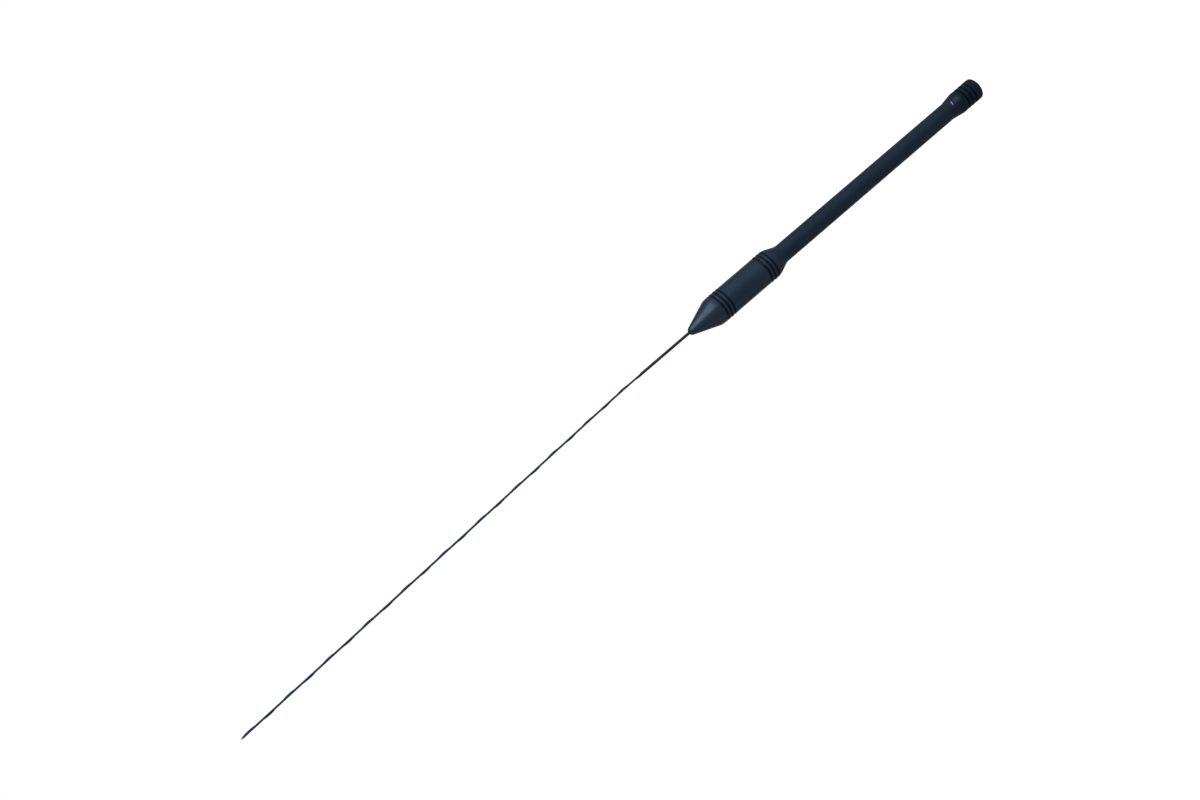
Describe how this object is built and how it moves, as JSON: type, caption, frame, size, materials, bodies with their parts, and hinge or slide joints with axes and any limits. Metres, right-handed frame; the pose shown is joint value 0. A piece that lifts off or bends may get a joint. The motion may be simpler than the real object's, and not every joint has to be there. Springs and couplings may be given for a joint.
{
  "type": "car mast aerial",
  "caption": "Screw-on car roof mast aerial: a ribbed moulded jacket over a loading coil, with a thin whip that carries a helical strake.",
  "frame": {"origin": "centre of the threaded hole's mouth, in the plane of the base face that seats on the car's aerial base", "axes": "+Z along the mast from the base face to the whip's tip; the whip leans slightly towards -X"},
  "size_m": [0.0134, 0.0132, 0.42],
  "materials": {
    "jacket_moulding": "moulded, matt with a slight sheen",
    "brass": "turned",
    "rod_steel": "drawn",
    "former_plastic": "moulded natural plastic",
    "coil_wire": "enamelled copper",
    "tube_plastic": "shrunk tube",
    "solder": "bright solder",
    "whip_coat": "black coated wire",
    "sleeve_plastic": "shrunk sleeve"
  },
  "bodies": {
    "root": {"jacket": "jacket_moulding", "thread_insert": "brass", "feed_rod": "rod_steel", "lower_ferrule": "brass", "coil_former": "former_plastic", "coil_winding": "coil_wire", "coil_tube": "tube_plastic", "solder_joints": "solder", "upper_ferrule": "brass", "whip_core": "whip_coat", "whip_sleeve": "sleeve_plastic", "whip_strake": "whip_coat"}
  },
  "joints": []
}
